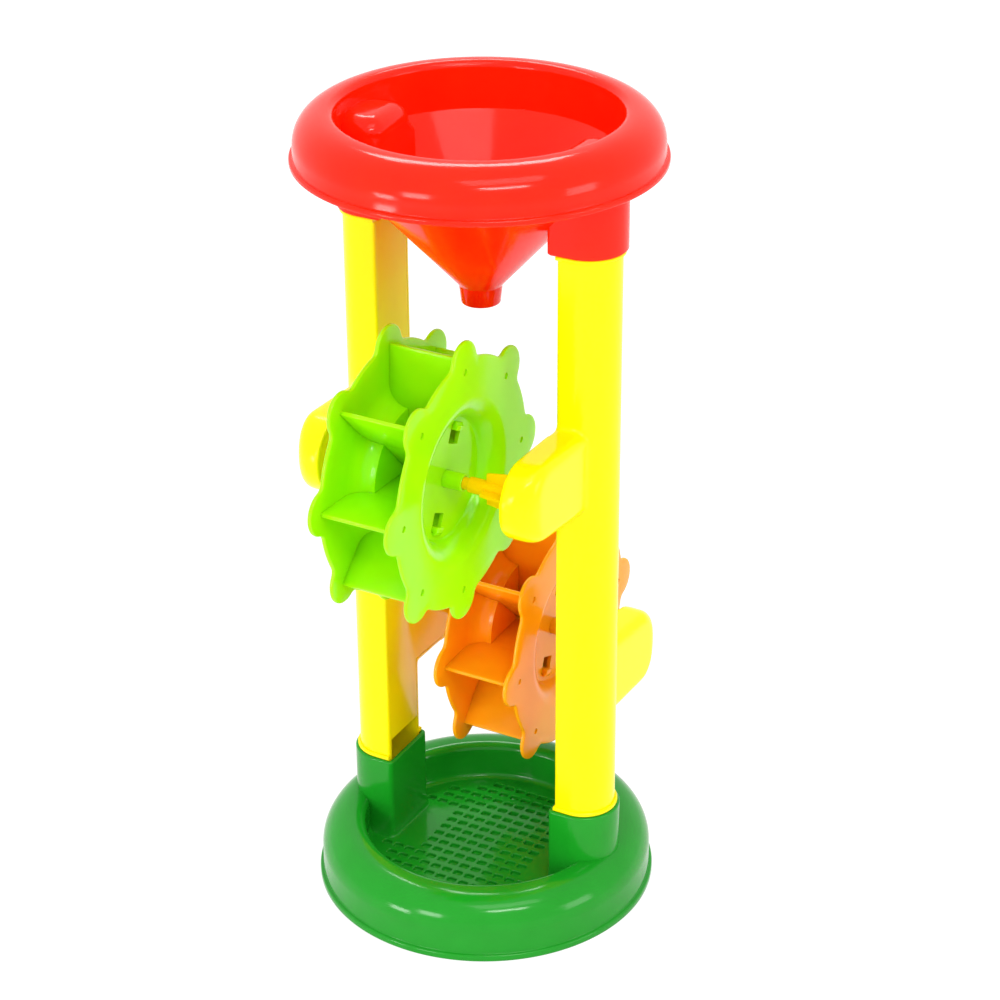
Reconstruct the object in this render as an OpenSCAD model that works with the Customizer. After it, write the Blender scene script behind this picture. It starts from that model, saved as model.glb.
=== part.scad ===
// Sand wheel toy: a tray base, two yellow columns, a hopper on top and two
// bucket wheels that turn on stub pins. Z is up, the columns stand on X and
// the origin is under the middle of the base.

/* [Base tray] */
// Diameter over the lip that stands on the ground
base_d = 150; // [140:1:180]
// Height of the base ring
base_h = 27; // [24:0.5:32]
// Height of the lip round the foot
base_lip_h = 3; // [2:0.5:6]
// Distance the lip stands out from the ring
base_lip = 1.5; // [1:0.25:3]
// Diameter of the tray inside the ring
tray_d = 108; // [100:1:112]
// Radius of the outer shoulder of the base ring
base_shoulder = 13.5; // [8:0.5:14]
// Radius of the inner edge of the base ring
base_inner_round = 4; // [3:0.5:5]
// Height of the tray floor, also inside the sockets
floor_z = 9.5; // [6:0.5:12]
// Radius of the hollow between the tray wall and the floor
floor_round = 3; // [2:0.25:4]
// Wall of the base moulding
base_wall = 2; // [1.6:0.1:2.4]
// Height of the top of the column sockets in the base
base_socket_z = 49; // [40:1:55]

/* [Waffle floor] */
// Radius of the waffled part of the floor
waffle_r = 49.5; // [45:0.5:50]
// Distance between the two smooth pads beside the sockets
pad_gap = 61; // [54:1:70]
// Width of a smooth pad
pad_w = 36; // [33:1:40]
// Spacing of the pits along X
pit_pitch_x = 5.7; // [5:0.1:9]
// Spacing of the pits along Y
pit_pitch_y = 5.8; // [5:0.1:9]
// Size of a pit along X
pit_x = 3.6; // [3:0.1:4.2]
// Size of a pit along Y
pit_y = 2.7; // [2:0.1:4]
// Depth of a pit in the floor
pit_depth = 0.9; // [0.4:0.1:1.2]

/* [Hopper] */
// Height of the whole toy
overall_h = 358.5; // [350:0.5:400]
// Diameter over the lip of the hopper ring
hopper_d = 151; // [146:1:170]
// Height of the hopper ring with its lip
hopper_h = 20.5; // [20:0.5:28]
// Height of the hopper lip
hopper_lip_h = 2.4; // [1.5:0.1:5]
// Distance the hopper lip stands out from the ring
hopper_lip = 1.5; // [1:0.25:3]
// Diameter of the bowl inside the ring
bowl_d = 114; // [110:1:118]
// Radius of the outer shoulder of the hopper ring
hopper_shoulder = 13.5; // [10:0.5:15]
// Radius of the inner edge of the hopper ring
hopper_inner_round = 3; // [2.5:0.25:5]
// Height of the funnel under the bowl
cone_h = 54; // [45:1:58]
// Diameter of the spout where the funnel ends
spout_d = 18; // [14:0.5:24]
// Diameter of the spout at its tip
spout_tip_d = 16.2; // [12:0.1:22]
// Length of the spout
spout_h = 8; // [5:0.5:14]
// Wall of the hopper moulding
hopper_wall = 1.9; // [1.5:0.1:2.2]
// Distance the column sockets hang below the ring
hopper_socket_drop = 29; // [22:1:36]
// Distance the closed socket tops stand up inside the bowl
hopper_socket_rise = 12.5; // [11:0.5:14]
// Radius of the edges of the socket tops
socket_top_round = 8; // [7:0.5:9]
// Wall of the flat side of a hopper socket
socket_face_wall = 3.5; // [2.5:0.1:4]
// Distance from the top of a socket down to the stop for the column
socket_stop_drop = 5.5; // [5:0.25:7]
// Distance the stop reaches inwards over the end of the column
socket_stop = 4; // [3.5:0.25:5]

/* [Columns] */
// Distance between the flat faces of the two columns
column_gap = 83; // [82:0.5:86]
// Width of a column
column_w = 27.4; // [24:0.2:30]
// Length of the straight side of a column before it rounds over
column_side = 7.4; // [6:0.2:9]
// Wall of the column shell
column_wall = 2; // [1.6:0.1:2.6]
// Thickness of the flat cover let into each column
cover_t = 2; // [1.6:0.1:3]
// Distance from the base socket to the lower end of the cover
cover_gap = 9.5; // [4:0.5:14]
// Distance the beads stand out round a column
bead = 1.2; // [0.8:0.1:1.8]
// Height of a bead
bead_h = 2; // [1.5:0.1:4]
// Width and depth of the rails that the cover lies on
rail = 1.5; // [1:0.1:2.5]

/* [Axle bosses] */
// Distance of each axle from the middle plane of the toy
axle_offset = 47; // [44:0.5:52]
// Height of the upper axle
upper_axle_z = 218.5; // [212:0.5:224]
// Height of the lower axle
lower_axle_z = 101.5; // [98:0.5:108]
// Radius of the round end of a boss
boss_r = 15.8; // [14:0.1:17]
// Radius of the boss where it grows out of the column
boss_root_r = 19; // [17:0.5:21]
// Depth of a boss behind the flat face
boss_depth = 13.5; // [12:0.25:15]
// Radius of the soft outer edge of a boss
boss_round = 8; // [7:0.5:11]

/* [Axle pins] */
// Radius of the pin that runs in the hub
pin_r = 2.5; // [2:0.1:3]
// Length of the pin inside the hub
pin_reach = 9.5; // [6:0.5:12]
// Radius of the thick root of the pin
pin_root_r = 3.3; // [3.2:0.1:4]
// Free play of the wheel between the two pin roots, on each side
end_play = 2.5; // [1:0.1:4]
// Thickness of the fins on the pin root
fin_t = 1.6; // [1.2:0.1:2.4]
// Distance from the boss face to the front of the fins
fin_len = 13.3; // [8:0.1:16]
// Reach of a fin at its front, from the axis
fin_front = 6.8; // [5:0.1:8]
// Reach of a fin at the boss, from the axis
fin_back = 9; // [8:0.1:11]

/* [Wheels] */
// Width of a wheel over both discs
wheel_w = 36; // [34:0.5:40]
// Radius of a wheel over its lobes
wheel_r = 61; // [56:0.2:62]
// Radius of a lobe
lobe_r = 9.5; // [7:0.25:10]
// Radius of a disc between two lobes
valley_r = 52.5; // [50:0.25:54]
// Radius of the hollow blend beside a lobe
lobe_blend = 4; // [2:0.25:6]
// Thickness of a disc
disc_t = 1.8; // [1.4:0.1:2.4]
// Radius at which a disc rolls over into its recess
recess_r = 36; // [32:0.5:40]
// Depth of the recess
recess_depth = 8.6; // [6:0.2:10]
// Thickness of a vane
vane_t = 1.8; // [1.4:0.1:2.6]
// Radius of the free edge of a vane
vane_r = 53.5; // [50:0.25:55]
// Outer radius of the hub tube
hub_r = 3.7; // [3.4:0.1:4.5]
// Number of vanes and lobes
vanes = 8; // [6:1:8]
// Turn of the upper wheel at rest, in degrees
upper_turn = -2; // [-20:1:20]
// Turn of the lower wheel at rest, in degrees
lower_turn = 1.3; // [-20:0.1:20]

/* [Wheel clips and pegs] */
// Radius of the slot centres in the side plate
slot_at = 18.2; // [16:0.1:20]
// Size of a slot
slot = 8; // [6:0.5:9]
// Width of a snap clip
clip_w = 5.6; // [4:0.1:5.8]
// Thickness of a snap clip
clip_t = 2.2; // [1.6:0.1:3]
// Distance the nose of a clip reaches over the edge of its slot
clip_nose = 1.2; // [0.8:0.1:1.6]
// Height of the nose of a clip
clip_nose_h = 2; // [1.5:0.1:3]
// Radius of the circle of pegs
peg_at = 48; // [46:0.1:51]
// Radius of a locating peg
peg_r = 1.3; // [1:0.1:1.6]

/* [Fits] */
// Radial clearance of a pin in the hub
run_fit = 0.1; // [0.05:0.01:0.1]
// Clearance of a column in its sockets
socket_fit = 0.2; // [0.1:0.05:0.3]
// Clearance between pieces that are joined together
join_fit = 0.1; // [0.05:0.01:0.2]
// Free length at each end of a column inside its socket
end_gap = 0.5; // [0.3:0.1:1]

/* [Hidden] */

$fn = 64;
// Steps round the shapes that are blended
soft_fn = 32;
// Steps along a rounded corner of a lobe
lobe_steps = 14;
blend_steps = 5;
// How far a cut runs past what it cuts
overrun = 1;
// Width of the flat left along the crest of a ring
crest_flat = 0.4;

base_r = base_d / 2;
base_ring_r = base_r - base_lip;
tray_r = tray_d / 2;
pad_x = pad_gap / 2;

hopper_r = hopper_d / 2;
hopper_ring_r = hopper_r - hopper_lip;
bowl_r = bowl_d / 2;
hopper_z = overall_h - hopper_h;
neck_z = hopper_z - cone_h;
spout_z = neck_z - spout_h;
hopper_socket_z = hopper_z - hopper_socket_drop;
hopper_socket_top = hopper_z + hopper_socket_rise;
socket_stop_z = hopper_socket_top - socket_stop_drop;
neck_r = spout_d / 2 - hopper_wall;
tip_r = spout_tip_d / 2 - hopper_wall;
// The funnel wall measured level, so that it is hopper_wall thick square on
cone_run = bowl_r - neck_r;
cone_wall = hopper_wall * norm([cone_run, cone_h]) / cone_h;

column_x = column_gap / 2;
column_z0 = floor_z + end_gap;
column_z1 = socket_stop_z - end_gap;
cover_z0 = base_socket_z + cover_gap;

disc_x = wheel_w / 2;
web_x = disc_x - recess_depth - disc_t;
bore_r = pin_r + run_fit;
pin_tip_x = disc_x - pin_reach;
pin_root_x = disc_x + end_play;

// A boss grows from the column this share of the axle offset from the middle
root_share = 0.13;
// Places of the two cover pegs, as shares of the axle offset
peg_shares = [1, 0.5];
// Cover pegs and the tubes in the shell that hold them
cover_peg_r = 1.9;
cover_peg_len = 5;
peg_tube_r = 4;
// Chamfer at the tip of a pin
pin_chamfer = 0.8;
// Depth of the peg holes left open in the side plate
peg_sink = 0.6;

// Outline of a ring seen from the side: upright walls and two rounded top edges
module ring_outline(inner, outer, low, high, inner_round, outer_round) {
    shoulder = min(outer_round, outer - inner - inner_round - crest_flat);
    translate([inner, low])
        square([outer - inner, high - shoulder - low]);
    translate([inner, low])
        square([outer - shoulder - inner, high - inner_round - low]);
    translate([inner + inner_round, low])
        square([outer - shoulder - inner - inner_round, high - low]);
    translate([outer - shoulder, high - shoulder])
        intersection() {
            circle(shoulder);
            square(shoulder);
        }
    translate([inner + inner_round, high - inner_round])
        circle(inner_round);
}

// The same outline as a moulded shell that is open underneath
module ring_shell(inner, outer, low, high, inner_round, outer_round, wall) {
    difference() {
        ring_outline(inner, outer, low, high, inner_round, outer_round);
        ring_outline(inner + wall, outer - wall, low - overrun, high - wall,
            inner_round - wall, outer_round - wall);
    }
}

// D-shaped section of a column, grown on every side
module column_section(grow) {
    half_w = column_w / 2 + grow;
    translate([column_x - grow, -half_w])
        square([column_side + grow, 2 * half_w]);
    translate([column_x + column_side, 0])
        intersection() {
            circle(half_w);
            translate([0, -half_w])
                square([half_w, 2 * half_w]);
        }
}

// Stands a shape for the right side on the right or the left
module on_side(side) {
    mirror([side < 0 ? 1 : 0, 0, 0])
        children();
}

// Hollow between the wall and the floor of the tray, seen from the side
module floor_corner() {
    difference() {
        translate([tray_r - floor_round, floor_z - base_wall / 2])
            square([floor_round + base_wall / 2, floor_round + base_wall / 2]);
        translate([tray_r - floor_round, floor_z + floor_round])
            circle(floor_round);
    }
}

module base_ring() {
    difference() {
        rotate_extrude() {
            ring_shell(tray_r, base_ring_r, 0, base_h,
                base_inner_round, base_shoulder, base_wall);
            translate([base_ring_r - base_wall, 0])
                square([base_lip + base_wall, base_lip_h]);
            floor_corner();
        }
        translate([0, 0, -overrun])
            cylinder(h = floor_z - base_wall + overrun, r = tray_r + base_wall + overrun);
    }
}

// Pits of the waffle floor, which leave the rim and the pads smooth
module waffle_pits() {
    columns = ceil(waffle_r / pit_pitch_x);
    rows = ceil(waffle_r / pit_pitch_y);
    for (i = [-columns : columns])
        for (j = [-rows : rows - 1]) {
            x = i * pit_pitch_x;
            y = (j + 0.5) * pit_pitch_y;
            in_round = norm([abs(x) + pit_x / 2, abs(y) + pit_y / 2]) < waffle_r;
            off_pads = abs(x) + pit_x / 2 < pad_x || abs(y) - pit_y / 2 > pad_w / 2;
            if (in_round && off_pads)
                translate([x - pit_x / 2, y - pit_y / 2])
                    square([pit_x, pit_y]);
        }
}

module tray_floor() {
    difference() {
        translate([0, 0, floor_z - base_wall])
            cylinder(h = base_wall, r = tray_r + base_wall / 2);
        translate([0, 0, floor_z - pit_depth])
        linear_extrude(pit_depth + overrun)
            waffle_pits();
    }
}

module base_tray() {
    color("forestgreen")
    difference() {
        union() {
            base_ring();
            tray_floor();
            for (side = [-1, 1])
                on_side(side)
                translate([0, 0, floor_z - base_wall])
                linear_extrude(base_socket_z - floor_z + base_wall)
                    column_section(socket_fit + base_wall);
        }
        for (side = [-1, 1])
            on_side(side)
            translate([0, 0, floor_z])
            linear_extrude(base_socket_z - floor_z + overrun)
                column_section(socket_fit);
    }
}

// Funnel and spout, as one wall
module funnel_outline() {
    polygon([
        [bowl_r, hopper_z + hopper_wall],
        [bowl_r, hopper_z],
        [neck_r, neck_z],
        [tip_r, spout_z],
        [tip_r + hopper_wall, spout_z],
        [neck_r + hopper_wall, neck_z],
        [bowl_r + cone_wall, hopper_z],
        [bowl_r + cone_wall, hopper_z + hopper_wall]
    ]);
}

// Upright face of a socket, as wide as the column, with soft top corners
module arch_outline(half_w, low, high, soft) {
    translate([-half_w, low])
        square([2 * half_w, high - soft - low]);
    translate([soft - half_w, low])
        square([2 * (half_w - soft), high - low]);
    for (side = [-1, 1])
        translate([side * (half_w - soft), high - soft])
            circle(soft);
}

// Closed socket for a column, with soft edges where it shows in the bowl
module hopper_socket() {
    half_w = column_w / 2 + socket_fit + hopper_wall;
    centre_x = column_x + column_side;
    flat_x = column_x - socket_fit - socket_face_wall;
    intersection() {
        union() {
            translate([centre_x, 0, 0])
            rotate_extrude()
            intersection() {
                arch_outline(half_w, hopper_socket_z, hopper_socket_top, socket_top_round);
                translate([0, hopper_socket_z])
                    square([half_w, overall_h]);
            }
            translate([flat_x, 0, 0])
            rotate([90, 0, 90])
            linear_extrude(centre_x - flat_x)
                arch_outline(half_w, hopper_socket_z, hopper_socket_top, socket_top_round);
        }
        translate([flat_x + half_w, half_w + overrun, 0])
        rotate([90, 0, 0])
        linear_extrude(2 * (half_w + overrun))
        union() {
            arch_outline(half_w, hopper_socket_z, hopper_socket_top, socket_top_round);
            translate([0, hopper_socket_z])
                square([2 * half_w, hopper_socket_top - hopper_socket_z]);
        }
    }
}

module hopper() {
    color("red")
    difference() {
        union() {
            rotate_extrude() {
                ring_shell(bowl_r, hopper_ring_r, hopper_z, overall_h,
                    hopper_inner_round, hopper_shoulder, hopper_wall);
                translate([hopper_ring_r - hopper_wall, hopper_z])
                    square([hopper_lip + hopper_wall, hopper_lip_h]);
                funnel_outline();
            }
            for (side = [-1, 1])
                on_side(side)
                hopper_socket();
        }
        for (side = [-1, 1])
            on_side(side)
            translate([0, 0, hopper_socket_z - overrun]) {
                linear_extrude(socket_stop_z - hopper_socket_z + overrun)
                    column_section(socket_fit);
                linear_extrude(hopper_socket_top - hopper_wall - hopper_socket_z + overrun)
                    column_section(-socket_stop);
            }
    }
}

// Places each boss of a column: the upper one towards -Y, the lower one towards +Y
module at_bosses() {
    translate([column_x, 0, upper_axle_z])
        children();
    translate([column_x, 0, lower_axle_z])
        mirror([0, 1, 0])
        children();
}

// A round post with a soft top edge
module soft_post(r, low, high, soft) {
    translate([0, 0, low])
    rotate_extrude($fn = soft_fn) {
        square([r, high - soft - low]);
        square([r - soft, high - low]);
        translate([r - soft, high - soft - low])
            intersection() {
                circle(soft, $fn = soft_fn);
                square(soft);
            }
    }
}

// Solid of a boss inset by a wall, lying along -Y from the column
module boss_body(inset) {
    hull() {
        translate([0, -axle_offset, 0])
        rotate([0, 90, 0])
            soft_post(boss_r - inset, -inset, boss_depth - inset, boss_round - inset);
        translate([0, -axle_offset * root_share, 0])
        rotate([0, 90, 0])
            soft_post(boss_root_r - inset, -inset, boss_depth - inset, boss_round - inset);
    }
}

// Straight-sided outline round two circles, for the cover inside a boss
module boss_outline(inset) {
    span = axle_offset * (1 - root_share);
    end_r = boss_r - inset;
    root_r = boss_root_r - inset;
    tilt = asin((root_r - end_r) / span);
    translate([-axle_offset, 0])
        circle(end_r);
    translate([-axle_offset * root_share, 0])
        circle(root_r);
    polygon([
        [-axle_offset - end_r * sin(tilt), end_r * cos(tilt)],
        [-axle_offset * root_share - root_r * sin(tilt), root_r * cos(tilt)],
        [-axle_offset * root_share - root_r * sin(tilt), -root_r * cos(tilt)],
        [-axle_offset - end_r * sin(tilt), -end_r * cos(tilt)]
    ]);
}

// Space inside the D-shaped shell, with the rails that the cover lies on left standing
module column_hollow() {
    inside_w = column_w - 2 * column_wall;
    difference() {
        column_section(-column_wall);
        for (side = [-1, 1])
            translate([column_x + cover_t, side * (inside_w - rail) / 2 - rail / 2])
                square(rail);
    }
    translate([column_x - overrun, -inside_w / 2])
        square([cover_t + overrun, inside_w]);
}

module column_shell(side) {
    color("yellow")
    on_side(side) {
        difference() {
            union() {
                translate([0, 0, column_z0])
                linear_extrude(column_z1 - column_z0)
                    column_section(0);
                for (z = [base_socket_z, hopper_socket_z - bead_h])
                    translate([0, 0, z])
                    linear_extrude(bead_h)
                    intersection() {
                        column_section(bead);
                        translate([column_x, -column_w])
                            square(2 * column_w);
                    }
                at_bosses()
                    boss_body(0);
            }
            translate([0, 0, column_z0 - overrun])
            linear_extrude(column_z1 - column_z0 + 2 * overrun)
                column_hollow();
            at_bosses()
                boss_body(column_wall);
        }
        at_bosses()
            for (share = peg_shares)
                translate([cover_t, -axle_offset * share, 0])
                rotate([0, 90, 0])
                difference() {
                    cylinder(h = boss_depth - column_wall / 2 - cover_t, r = peg_tube_r);
                    translate([0, 0, -overrun])
                        cylinder(h = cover_peg_len + join_fit + overrun, r = cover_peg_r + join_fit);
                }
    }
}

// Stub pin for one wheel, pointing from the boss face towards the middle
module axle_pin() {
    rotate([0, -90, 0]) {
        cylinder(h = column_x - pin_root_x, r = pin_root_r);
        cylinder(h = column_x - pin_tip_x - pin_chamfer, r = pin_r);
        translate([0, 0, column_x - pin_tip_x - pin_chamfer])
            cylinder(h = pin_chamfer, r1 = pin_r, r2 = pin_r - pin_chamfer);
    }
    for (turn = [0, 90])
        rotate([turn, 0, 0])
        translate([0, fin_t / 2, 0])
        rotate([90, 0, 0])
        linear_extrude(fin_t)
            polygon([
                [0, -fin_back],
                [0, fin_back],
                [-fin_len, fin_front],
                [-fin_len, -fin_front]
            ]);
}

module column_cover(side) {
    half_w = column_w / 2 - column_wall - join_fit;
    color("gold")
    on_side(side) {
        translate([column_x, 0, 0])
        rotate([90, 0, 90])
        linear_extrude(cover_t) {
            translate([-half_w, cover_z0])
                square([2 * half_w, column_z1 - cover_z0]);
            translate([0, upper_axle_z])
                boss_outline(column_wall + join_fit);
            translate([0, lower_axle_z])
                mirror([1, 0])
                boss_outline(column_wall + join_fit);
        }
        at_bosses() {
            translate([0, -axle_offset, 0])
                axle_pin();
            for (share = peg_shares)
                translate([0, -axle_offset * share, 0])
                rotate([0, 90, 0])
                    cylinder(h = cover_t + cover_peg_len, r = cover_peg_r);
        }
    }
}

function polar(r, angle) = [r * cos(angle), r * sin(angle)];

// Rim of a disc: round lobes joined to the valleys by hollow blends
lobe_at = wheel_r - lobe_r;
blend_at = valley_r + lobe_blend;
blend_turn = acos((pow(lobe_at, 2) + pow(blend_at, 2) - pow(lobe_r + lobe_blend, 2))
    / (2 * lobe_at * blend_at));
blend_centre = polar(blend_at, blend_turn);
// Direction from the lobe centre to the blend centre, and back
lobe_end = atan2(blend_centre[1], blend_centre[0] - lobe_at);

function lobe_side(mirror_y) = [
    for (i = [0 : blend_steps])
        let (a = 180 + blend_turn + (lobe_end - blend_turn) * i / blend_steps)
        [blend_centre[0] + lobe_blend * cos(a), mirror_y * (blend_centre[1] + lobe_blend * sin(a))]
];
function lobe_arc() = [
    for (i = [1 : lobe_steps - 1])
        let (a = lobe_end * (1 - 2 * i / lobe_steps))
        [lobe_at + lobe_r * cos(a), lobe_r * sin(a)]
];
function reversed(list) = [for (i = [len(list) - 1 : -1 : 0]) list[i]];
function turned(p, angle) = [
    p[0] * cos(angle) - p[1] * sin(angle),
    p[0] * sin(angle) + p[1] * cos(angle)
];
lobe_points = concat(lobe_side(1), lobe_arc(), reversed(lobe_side(-1)));

module rim_outline() {
    polygon([
        for (k = [vanes - 1 : -1 : 0])
            for (p = lobe_points)
                turned(p, k * 360 / vanes)
    ]);
    circle(valley_r);
}

// Half of the section of a disc, as radius against distance from the middle of the wheel
module dish_outline(from_r) {
    translate([recess_r, disc_x - disc_t])
        square([valley_r - lobe_blend - recess_r, disc_t]);
    translate([from_r, web_x])
        square([recess_r - recess_depth - from_r, disc_t]);
    intersection() {
        translate([recess_r, web_x])
            difference() {
                circle(recess_depth + disc_t);
                circle(recess_depth);
            }
        translate([recess_r - recess_depth - disc_t, web_x])
            square(recess_depth + disc_t);
    }
}

// One disc of a wheel with its recess, on the +X side
module disc(from_r) {
    translate([0, 0, disc_x - disc_t])
    linear_extrude(disc_t)
    difference() {
        rim_outline();
        circle(valley_r - 2 * lobe_blend);
    }
    rotate_extrude()
        dish_outline(from_r);
}

// Everything beyond the inner face of a disc, less a gap
module beyond_disc(gap) {
    rotate_extrude() {
        difference() {
            translate([0, web_x - gap])
                square([recess_r, disc_x]);
            translate([recess_r, web_x])
                circle(recess_depth - gap);
        }
        translate([recess_r, disc_x - disc_t - gap])
            square([wheel_r, disc_x]);
    }
}

// Turns a wheel drawn round Z so that it runs round X on its own axle
module on_axle(y, z, turn) {
    translate([0, y, z])
    rotate([turn, 0, 0])
    rotate([90, 0, 90])
        children();
}

module vane_set() {
    difference() {
        for (k = [0 : vanes - 1])
            rotate([0, 0, k * 360 / vanes])
            translate([0, -vane_t / 2, -disc_x + disc_t / 2])
                cube([vane_r, vane_t, wheel_w - disc_t]);
        beyond_disc(join_fit);
        mirror([0, 0, 1])
            beyond_disc(-disc_t / 2);
    }
}

// Snap clips that hold the side plate, halfway between two vanes
module clip() {
    edge = slot_at + slot / 2 - join_fit;
    rotate([0, 0, 180 / vanes + 360 / vanes]) {
        translate([edge - clip_t, -clip_w / 2, -web_x - disc_t / 2])
            cube([clip_t, clip_w, 2 * web_x + 3 * disc_t / 2 + join_fit + clip_nose_h]);
        translate([edge - clip_t, -clip_w / 2, web_x + disc_t + join_fit])
            cube([clip_t + join_fit + clip_nose, clip_w, clip_nose_h]);
    }
}

module rotor() {
    difference() {
        union() {
            mirror([0, 0, 1])
                disc(0);
            vane_set();
            for (turn = [0, 180])
                rotate([0, 0, turn])
                    clip();
            for (k = [0 : vanes - 1])
                rotate([0, 0, k * 360 / vanes])
                translate([peg_at, 0, disc_x - 2 * disc_t])
                    cylinder(h = 2 * disc_t - peg_sink, r = peg_r);
            translate([0, 0, -disc_x])
                cylinder(h = wheel_w, r = hub_r);
        }
        translate([0, 0, -disc_x - overrun])
            cylinder(h = wheel_w + 2 * overrun, r = bore_r);
    }
}

module side_plate() {
    difference() {
        disc(hub_r + join_fit);
        for (turn = [0, 180])
            rotate([0, 0, turn + 180 / vanes + 360 / vanes])
            translate([slot_at - slot / 2, -slot / 2, web_x - overrun])
                cube([slot, slot, disc_t + 2 * overrun]);
        for (k = [0 : vanes - 1])
            rotate([0, 0, k * 360 / vanes])
            translate([peg_at, 0, disc_x - disc_t - overrun])
                cylinder(h = disc_t + 2 * overrun, r = peg_r + join_fit);
    }
}

module upper_wheel_rotor() {
    color("lawngreen")
    on_axle(-axle_offset, upper_axle_z, upper_turn)
        rotor();
}

module upper_wheel_side_plate() {
    color("greenyellow")
    on_axle(-axle_offset, upper_axle_z, upper_turn)
        side_plate();
}

module lower_wheel_rotor() {
    color("darkorange")
    on_axle(axle_offset, lower_axle_z, lower_turn)
        rotor();
}

module lower_wheel_side_plate() {
    color("orange")
    on_axle(axle_offset, lower_axle_z, lower_turn)
        side_plate();
}

base_tray();
hopper();
column_shell(-1);  // left_column_shell
column_cover(-1);  // left_column_cover
column_shell(1);  // right_column_shell
column_cover(1);  // right_column_cover
upper_wheel_rotor();
upper_wheel_side_plate();
lower_wheel_rotor();
lower_wheel_side_plate();
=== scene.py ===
"""Looks of a sand wheel toy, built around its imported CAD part.

The toy is moulded from coloured polypropylene: a round green tray base, two
yellow columns, a red hopper and two bucket wheels on stub pins. Lengths are in
millimetres and become metres where a mesh is made. Z is up, the columns stand
on X and the origin is under the middle of the base.
"""

import cmath
import logging
import math
from collections.abc import Iterable, Sequence
from dataclasses import dataclass
from enum import Enum

import bmesh
import bpy
from mathutils import Matrix, Vector


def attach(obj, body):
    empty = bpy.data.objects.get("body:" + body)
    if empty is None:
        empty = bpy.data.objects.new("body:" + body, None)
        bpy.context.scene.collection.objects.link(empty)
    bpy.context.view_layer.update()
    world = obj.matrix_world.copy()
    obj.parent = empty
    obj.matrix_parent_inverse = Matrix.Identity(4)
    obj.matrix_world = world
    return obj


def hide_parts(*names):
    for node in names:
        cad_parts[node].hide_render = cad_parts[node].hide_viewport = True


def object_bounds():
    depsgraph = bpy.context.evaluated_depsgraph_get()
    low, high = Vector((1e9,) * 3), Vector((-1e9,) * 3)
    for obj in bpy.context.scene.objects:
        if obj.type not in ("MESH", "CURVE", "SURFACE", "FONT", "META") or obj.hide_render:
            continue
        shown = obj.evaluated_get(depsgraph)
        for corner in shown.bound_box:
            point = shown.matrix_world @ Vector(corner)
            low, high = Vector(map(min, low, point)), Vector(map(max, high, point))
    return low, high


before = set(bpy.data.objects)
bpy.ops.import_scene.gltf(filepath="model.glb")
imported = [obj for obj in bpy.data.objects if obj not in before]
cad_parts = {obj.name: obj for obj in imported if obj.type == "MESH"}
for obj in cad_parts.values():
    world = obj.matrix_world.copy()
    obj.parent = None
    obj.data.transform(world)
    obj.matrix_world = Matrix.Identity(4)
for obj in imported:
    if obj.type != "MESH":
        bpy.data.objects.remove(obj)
CAD_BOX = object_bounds()

MM = 0.001
TURN = math.tau
WHITE = (1, 1, 1, 1)
LOG = logging.getLogger("sand_wheel")

# Edges sharper than this keep a crease, and the bevels take them
SHARP = math.radians(38)
# Vertices closer than the first, and edges shorter than the second, are one point, in metres
MERGED = 1e-6
COLLAPSED = 1e-7
# How far a cutting piece runs past what it cuts
OVERRUN = 1.0
# Corner radius of the hollow in the sockets that a column stands in
SOCKET_CORNER = 0.5
# Where the wheels' axles stand, in Y and Z
UPPER_AXLE = (-47.0, 218.5)
LOWER_AXLE = (47.0, 101.5)

Obj = bpy.types.Object
Tree = bpy.types.NodeTree
Node = bpy.types.Node
Socket = bpy.types.NodeSocket
Vec2 = tuple[float, float]
Vec3 = tuple[float, float, float]
Corner = Vec3
# A point of an outline and the direction that leads out of it, in a plane of complex numbers
Spot = tuple[complex, complex]
Loop = list[Vec3]


class Side(Enum):
    """The side of the toy that a mirrored piece stands on, as a sign along X."""

    LEFT = -1
    RIGHT = 1


class Axis(Enum):
    """The axis that a round piece is turned about."""

    ACROSS = "X"
    UP = "Z"


class Body(Enum):
    """The rigid bodies of the CAD part."""

    FRAME = "frame"
    UPPER_WHEEL = "upper_wheel"
    LOWER_WHEEL = "lower_wheel"


class Join(Enum):
    """The ways to combine two closed meshes."""

    ADD = "UNION"
    CUT = "DIFFERENCE"


# Finishes


def linear(hex_colour: str) -> tuple[float, float, float, float]:
    """Turns an sRGB hex colour to linear light.

    Args:
        hex_colour: six hex digits.

    Returns:
        Red, green, blue and an alpha of 1.
    """
    parts = [int(hex_colour[i : i + 2], 16) / 255 for i in (0, 2, 4)]
    # The sRGB curve: a straight foot, then a power
    return *(c / 12.92 if c <= 0.04045 else ((c + 0.055) / 1.055) ** 2.4 for c in parts), 1.0


def blank(owner: bpy.types.Material | bpy.types.World) -> Tree:
    """Gives a material or world a node tree with nothing in it."""
    owner.use_nodes = True
    owner.node_tree.nodes.clear()
    return owner.node_tree


def add(
    tree: Tree, kind: str, inputs: dict[str | int, object] | None = None, **settings: object
) -> Node:
    """Adds one node with its settings, input values and links.

    Args:
        tree: the node tree.
        kind: the node's type name.
        inputs: a value or a socket to link, for each input by name or index.
        **settings: the node's own properties.

    Returns:
        The new node.
    """
    node = tree.nodes.new(kind)
    for key, value in settings.items():
        setattr(node, key, value)
    for key, value in (inputs or {}).items():
        if isinstance(value, Socket):
            tree.links.new(value, node.inputs[key])
        else:
            node.inputs[key].default_value = value
    return node


def maths(tree: Tree, operation: str, *values: object, kind: str = "ShaderNodeMath") -> Socket:
    """Adds a math node.

    Args:
        tree: the node tree.
        operation: what it does.
        *values: a value or a socket to link, for each input in turn.
        kind: the node's type name.

    Returns:
        Its first output.
    """
    return add(tree, kind, dict(enumerate(values)), operation=operation).outputs[0]


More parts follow.
